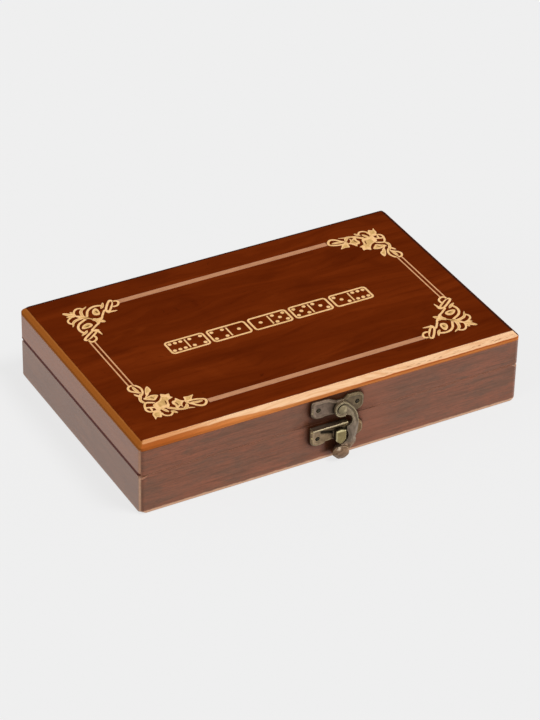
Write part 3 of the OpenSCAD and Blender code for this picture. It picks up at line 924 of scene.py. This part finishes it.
def hook_bronze():
    """The hook: pale olive by its eye, brown at its tip, with a slanted painted highlight on the tip
    and an arc of painted shade below that."""
    look = metal("hook_bronze", "#52463a", "#766656", "#9e9278", 44)
    drop = PIVOT[1] - look.z
    aside = look.x - (PIVOT[0] + TIP_SPOT[0])
    above = look.z - (PIVOT[1] + TIP_SPOT[1]) - aside * 0.35
    aside = abs(aside) * 0.5
    on_front = look.y.step(HOOK_FRONT - 0.3, HOOK_FRONT - 0.9)
    arc = above.step(-0.8, -1.2) * above.step(-2.3, -1.6) * aside.step(1.1, 0.6)
    worn = (abs(above) + aside).step(0.9, 0.35)
    colour = look.mix(drop.step(12.1, 4.1), look.colour, OLIVE_PALE, "MULTIPLY")
    look.cover(
        look.mix(drop.step(18.1, 21.1), colour, TIP_BROWN, "MULTIPLY"),
        # An arc of painted shade below the tip's spot, and a painted highlight on the spot itself
        (arc * (on_front * 0.45), "#382414"),
        (worn * (on_front * 0.6), "#d6c2a8"),
    )
    return look


def catch_metal():
    """The catch: yellower, with a painted highlight on its left and top edges, and painted shade towards
    the plate.
    """
    look = metal("catch_metal", "#665836", "#82734a", "#b4a478", 47, shine=0.8)
    low, high = box("latch_catch")
    left_rim = look.x.step(low.x + 0.6, low.x + 0.25)
    top_rim = look.z.step(high.z - 1.2, high.z - 0.6)
    look.cover(
        look.colour,
        # Painted highlight on the left and top edges, and painted shade towards the plate
        (look.most(left_rim, top_rim), "#bcb084"),
        (look.y.step(low.y + 0.3, low.y + 1.0), PAINTED_SHADE),
    )
    return look


plate_look = plate_bronze()
hook_look = hook_bronze()
catch_look = catch_metal()
rivet_look = metal("rivet_bronze", "#70644a", "#908264", "#b0a282", 45, roughness=0.6)
nail_look = metal("nail_metal", "#1a140a", "#2a2112", "#544830", 50, roughness=0.6)
hinge_look = metal("hinge_bronze", "#625438", "#887650", "#cebc8a", 53)


def remeshed(node, voxel, rounds):
    """A CAD node's skin as an even net of quads with eased edges: points in millimetres, and faces."""
    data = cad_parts[node].data.copy()
    data.transform(Matrix.Scale(1 / MM, 4))
    raw = new_object("raw", data)
    net = raw.modifiers.new("net", "REMESH")
    net.mode = "VOXEL"
    net.voxel_size = voxel
    mesh = bpy.data.meshes.new_from_object(raw.evaluated_get(bpy.context.evaluated_depsgraph_get()))
    bpy.data.objects.remove(raw)
    points = np.array([v.co for v in mesh.vertices])
    edges = np.array([e.vertices for e in mesh.edges])
    faces = [tuple(f.vertices) for f in mesh.polygons]
    count = np.zeros((len(points), 1))
    for a, b in ((0, 1), (1, 0)):
        np.add.at(count, edges[:, a], 1)
    for _ in range(rounds):
        total = np.zeros_like(points)
        for a, b in ((0, 1), (1, 0)):
            np.add.at(total, edges[:, a], points[edges[:, b]])
        points = points * 0.4 + total / count * 0.6
    return points, faces


def rims(node, level):
    """The edges (x, z, x, z) of a CAD node's flat front, which lies at y = level."""
    net = bmesh.new()
    net.from_mesh(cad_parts[node].data)
    bmesh.ops.transform(net, matrix=Matrix.Scale(1 / MM, 4), verts=net.verts)
    bmesh.ops.remove_doubles(net, verts=net.verts, dist=0.002)
    found = []
    for edge in net.edges:
        if all(abs(v.co.y - level) < 0.02 for v in edge.verts):
            front = [face for face in edge.link_faces if face.normal.y < -0.99]
            if len(front) == 1:
                found.append([c for v in edge.verts for c in (v.co.x, v.co.z)])
    net.free()
    return np.array(found)


def from_rims(points, segments):
    """Distance of each point, seen from the front, to the nearest of the segments."""
    place = points[:, [0, 2]]
    nearest = np.full(len(place), 1e9)
    for x0, z0, x1, z1 in segments:
        start, run = np.array((x0, z0)), np.array((x1 - x0, z1 - z0))
        share = np.clip((place - start) @ run / max(run @ run, 1e-9), 0, 1)[:, None]
        nearest = np.minimum(nearest, np.linalg.norm(place - start - share * run, axis=1))
    return nearest


def ease(value, low, high):
    """0 below low and 1 above high, with a soft step between, for arrays."""
    share = np.clip((value - low) / (high - low), 0, 1)
    return share * share * (3 - 2 * share)


def bell(value, middle, width):
    """1 at middle, and less on both sides."""
    return np.exp(-((value - middle) / width) ** 2)


def crown(points, node, nails):
    """Gives a plate's front a round rim with a shallow groove inside it. Its nail holes have none."""
    edges = rims(node, plate_front)
    middle = (edges[:, :2] + edges[:, 2:]) / 2
    heads = np.array([v.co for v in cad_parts[nails].data.vertices])[:, [0, 2]] / MM
    away = np.array([np.hypot(*(heads - spot).T).min() for spot in middle])
    inward = from_rims(points, edges[away > 0.4])
    out = wall_front - points[:, 1]
    on_plate = (points[:, 1] > plate_front - 0.15) * np.clip(out / (wall_front - plate_front), 0, 1)
    edge = 0.5 * (1 - ease(inward, 0, 0.85)) - 0.08 * bell(inward, 0.95, 0.45)
    points[:, 1] += (edge + 0.18 * ease(inward, 1.1, 2.0)) * on_plate
    return points


def beaten(points, size, depth, seed):
    """Slight unevenness of cast and stamped metal."""
    shift = Vector((seed, seed * 2, seed * 3))
    for i, point in enumerate(points):
        points[i] += np.array(noise.noise_vector(Vector(point) / size + shift)) * depth
    return points


def metal_piece(name, node, look, body, points, faces):
    piece = make_piece(name, points.tolist(), faces, look, body, smooth=True)
    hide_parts(node)


def squared(points, x, z, radius):
    """Fills out the round upper left corner that has its middle at x, z."""
    left, up = x - points[:, 0], points[:, 2] - z
    inside = (left > 0) & (up > 0)
    reach = np.hypot(left, up) + 1e-9
    grow = ((np.abs(left) / reach) ** 6 + (np.abs(up) / reach) ** 6) ** (-1 / 6)
    grow = np.where(inside & (reach < radius * 1.1), grow, 1)
    points[:, 0] = x - left * grow
    points[:, 2] = z + up * grow
    return points


def make_plates():
    points, faces = remeshed("latch_upper_plate", 0.15, 4)
    points = squared(crown(points, "latch_upper_plate", "latch_upper_nails"), *FULL_CORNER)
    metal_piece("upper_plate", "latch_upper_plate", plate_look, "lid",
                beaten(points, 3.0, 0.05, 1), faces)
    points, faces = remeshed("latch_lower_plate", 0.15, 4)
    points = crown(points, "latch_lower_plate", "latch_lower_nails")
    x, z = points[:, 0], points[:, 2]
    front = np.clip((wall_front - points[:, 1] - 0.4) / 1.2, 0, 1) * (points[:, 1] > plate_front - 0.3)
    slot = bell(z + SLOT_FALL * (x - SLOT_X), SLOT_Z, 0.65)
    slot *= ease(x, SLOT_LEFT, SLOT_LEFT + 1.6) * ease(-x, -SLOT_RIGHT, 1.2 - SLOT_RIGHT)
    boss = np.exp(-((((x - BOSS_X) / 2.8) ** 2 + ((z - BOSS_Z) / 1.3) ** 2) ** 2))
    points[:, 1] += (1.1 * slot - 0.6 * boss) * front
    metal_piece("lower_plate", "latch_lower_plate", plate_look, "base",
                beaten(points, 3.0, 0.05, 1), faces)


def arm_rims():
    """The edges of the hook's flat front, without its eye, throat and jaw."""
    edges = rims("latch_hook", HOOK_FRONT)
    middle = (edges[:, :2] + edges[:, 2:]) / 2 - np.array(PIVOT)
    keep = np.hypot(middle[:, 0], middle[:, 1]) > 2
    for x, z, r in (HOOK_THROAT, HOOK_JAW):
        keep &= np.hypot(middle[:, 0] - x, middle[:, 1] - z) > r + 0.1
    return edges[keep]


def shape_tip(points, x, z):
    """Rounds the hook's thick tip and runs it out into the arm. Gives 1 on the tip and 0 on the arm."""
    out = wall_front - points[:, 1]
    thick = (1 - ease(x, 2.5, 6.0)) * (1 - 0.45 * ease(-z, 23.0, 26.0))
    points[:, 1] = np.where(out > 3.2, wall_front - 3.2 - (out - 3.2) * thick, points[:, 1])
    raised = np.clip((out - 2) / 2.8, 0, 1)
    at_tip = ease(-z, 18.0, 20.0) * ease(-x, -3.6, -1.6)
    from_middle = np.hypot(x - np.clip(x, *TIP_ENDS), z - TIP_Z)
    spot = np.exp(-((x - TIP_SPOT[0]) ** 2 + (z - TIP_SPOT[1]) ** 2) / 0.7)
    knob = 0.9 * ease(from_middle, 1.2, 3.3) * (1 - ease(x, -0.5, 2.0)) - 0.4 * spot
    points[:, 1] += knob * raised * at_tip
    points[:, 0] += 0.9 * ease(-x, 1.5, 4.8) * (1 - raised) * ease(-z, 19.0, 20.5)
    # It hangs to a blunt point at its right
    hang = 1.6 * ease(x, -3.8, -0.6) - 0.5 * ease(x, 0.3, 2.4) - 0.8
    points[:, 2] -= hang * ease(-z, 22.0, 25.2)
    points[:, 0] += 0.45 * ease(x, 0.0, 2.5) * ease(-z, 11.0, 19.0)
    return at_tip


def make_hook():
    points, faces = remeshed("latch_hook", 0.13, 6)
    inward = from_rims(points, arm_rims())
    x, z = points[:, 0] - PIVOT[0], points[:, 2] - PIVOT[1]
    at_tip = shape_tip(points, x, z)
    front = np.clip((wall_front - points[:, 1] - 1.8) / 1.4, 0, 1)
    # A bead runs round the eye's part, with a groove inside it
    bead = (0.42 * bell(inward, 0.5, 0.4) - 0.22 * bell(inward, 1.6, 0.5)) * ease(z, -12.5, -7.0)
    # The arm's front is rounded across
    from_jaw = np.abs(np.hypot(x - HOOK_JAW[0], z - HOOK_JAW[1]) - HOOK_JAW[2])
    arm = ease(-z, 4, 8) * (1 - at_tip)
    round_off = 0.45 * (1 - ease(np.minimum(inward, from_jaw), 0, 1.6)) * arm
    points[:, 1] += (round_off - bead) * front
    metal_piece("hook", "latch_hook", hook_look, "hook", beaten(points, 2.5, 0.05, 2), faces)


def small_metal(name, node, look, body, voxel, rounds):
    points, faces = remeshed(node, voxel, rounds)
    metal_piece(name, node, look, body, beaten(points, 1.5, 0.02, voxel), faces)


def make_small_metal():
    small_metal("rivet", "latch_rivet", rivet_look, "lid", 0.12, 3)
    for name, node, body in (
        ("upper_nails", "latch_upper_nails", "lid"), ("lower_nails", "latch_lower_nails", "base"),
        ("hinge_nails_below", "hinge_base_nails", "base"), ("hinge_nails_above", "hinge_lid_nails", "lid"),
    ):
        small_metal(name, node, nail_look, body, 0.12, 2)
    for side in ("left", "right"):
        for level, body in (("lower", "base"), ("upper", "lid")):
            node = f"hinge_{side}_{body}_leaf"
            small_metal(f"{side}_hinge_{level}_leaf", node, hinge_look, body, 0.15, 3)
    for side in ("left", "right"):
        small_metal(f"{side}_hinge_pin", f"hinge_{side}_pin", hinge_look, "base", 0.12, 2)


def make_catch():
    points, faces = remeshed("latch_catch", 0.13, 14)
    low, high = box("latch_catch")
    middle = (low + high) / 2
    narrow = 1 - 0.5 * ease(middle.z - points[:, 2], 1.4, 3.7)
    points[:, 0] = middle.x + (points[:, 0] - middle.x) * narrow
    aside = points[:, 0] - middle.x
    rounding = 0.3 * ease(-aside, 0.1, 1.9) + 0.55 * ease(aside, 0.0, 1.9)
    points[:, 2] -= rounding * ease(points[:, 2], middle.z, high.z)
    points = beaten(points, 1.5, 0.04, 4)
    metal_piece("catch", "latch_catch", catch_look, "base", points, faces)


make_plates()
make_hook()
make_catch()
make_small_metal()


# ---- Felt linings and the bottom panel ----

def felt_look():
    look = Look("felt", Roughness=0.95, Specular_IOR_Level=0.05, Sheen_Weight=0.35, Sheen_Roughness=0.5)
    cloud = look.noise((9, 9, 9), detail=4, rough=0.6, seed=61)
    fuzz = look.noise((0.45, 0.45, 0.45), detail=4, rough=0.75, seed=62, warp=1.5)
    hairs = look.noise((2.2, 0.18, 0.4), detail=3, rough=0.7, seed=63, warp=2.5)
    look.cover(
        look.mix(cloud.step(0.35, 0.68), "#185c34", "#124c2a"),
        (fuzz.step(0.42, 0.72), "#287446"),
        (hairs.step(0.58, 0.74) * 0.5, "#0a341c"),
    )
    look.bump(fuzz + hairs, 0.25)
    return look


def spaced(low, high, step):
    """Places from low to high, close together near both ends."""
    near = (0, 0.15, 0.45, 1.0)
    count = round((high - low - 2 * near[-1]) / step)
    middle = [low + near[-1] + (high - low - 2 * near[-1]) * i / count for i in range(1, count)]
    return [low + n for n in near] + middle + [high - n for n in reversed(near)]


FELT_STEP = 1.6  # spacing of a lining's net
NAP_WAVE = 0.09  # unevenness of the nap, over lumps of NAP_LUMP
NAP_LUMP = 13
NAP_DROP = 0.12  # how far the nap's mean level lies under the CAD solid's face
EDGE_DROP = 0.45  # how far it falls further towards the edge


def felt_sheet(name, node, body, up, seed):
    """A felt lining with soft edges. up is 1 where its nap faces up and -1 where it faces down."""
    low, high = box(node)
    xs = spaced(low.x, high.x, FELT_STEP)
    ys = spaced(low.y, high.y, FELT_STEP)
    glued, nap = (low.z, high.z) if up > 0 else (high.z, low.z)
    under = []
    over = []
    for y in ys:
        for x in xs:
            edge = min(x - low.x, high.x - x, y - low.y, high.y - y)
            wave = noise.noise(Vector((x / NAP_LUMP, y / NAP_LUMP, seed))) * NAP_WAVE
            under.append((x, y, glued))
            over.append((x, y, nap - up * (NAP_DROP + wave + EDGE_DROP * (1 - min(edge, 1)) ** 2)))
    wide, deep, count = len(xs), len(ys), len(under)
    faces = []
    for j in range(deep - 1):
        for i in range(wide - 1):
            quad = (j * wide + i, j * wide + i + 1, (j + 1) * wide + i + 1, (j + 1) * wide + i)
            faces.append(tuple(count + v for v in quad))
            faces.append(tuple(reversed(quad)))
    # The points round the edge, anticlockwise
    rim = list(range(wide)) + [j * wide + wide - 1 for j in range(1, deep)]
    rim += [(deep - 1) * wide + i for i in range(wide - 2, -1, -1)]
    rim += [j * wide for j in range(deep - 2, 0, -1)]
    for a, b in zip(rim, rim[1:] + rim[:1]):
        faces.append((a, b, count + b, count + a))
    if up < 0:
        faces = [tuple(reversed(face)) for face in faces]
    lining = make_piece(name, under + over, faces, felt_green, body, smooth=True)
    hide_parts(node)


felt_green = felt_look()
felt_sheet("base_lining", "base_felt_lining", "base", 1, 3.0)
felt_sheet("lid_lining", "lid_felt_lining", "lid", -1, 8.0)


def panel_look():
    look = Look("bottom_panel", Roughness=0.7, Specular_IOR_Level=0.2)
    rings = look.grain("X", 140, 10, detail=3, seed=71, warp=0.8)
    fibres = look.grain("X", 14, 0.5, detail=4, rough=0.65, seed=72)
    wood = look.mix(rings.step(0.35, 0.65), "#c49668", "#b08054")
    look.cover(wood, (fibres.step(0.5, 0.75) * 0.5, "#8c603c"))
    look.bump(fibres, 0.04)
    return look


dress(["base_bottom_panel"], panel_look())
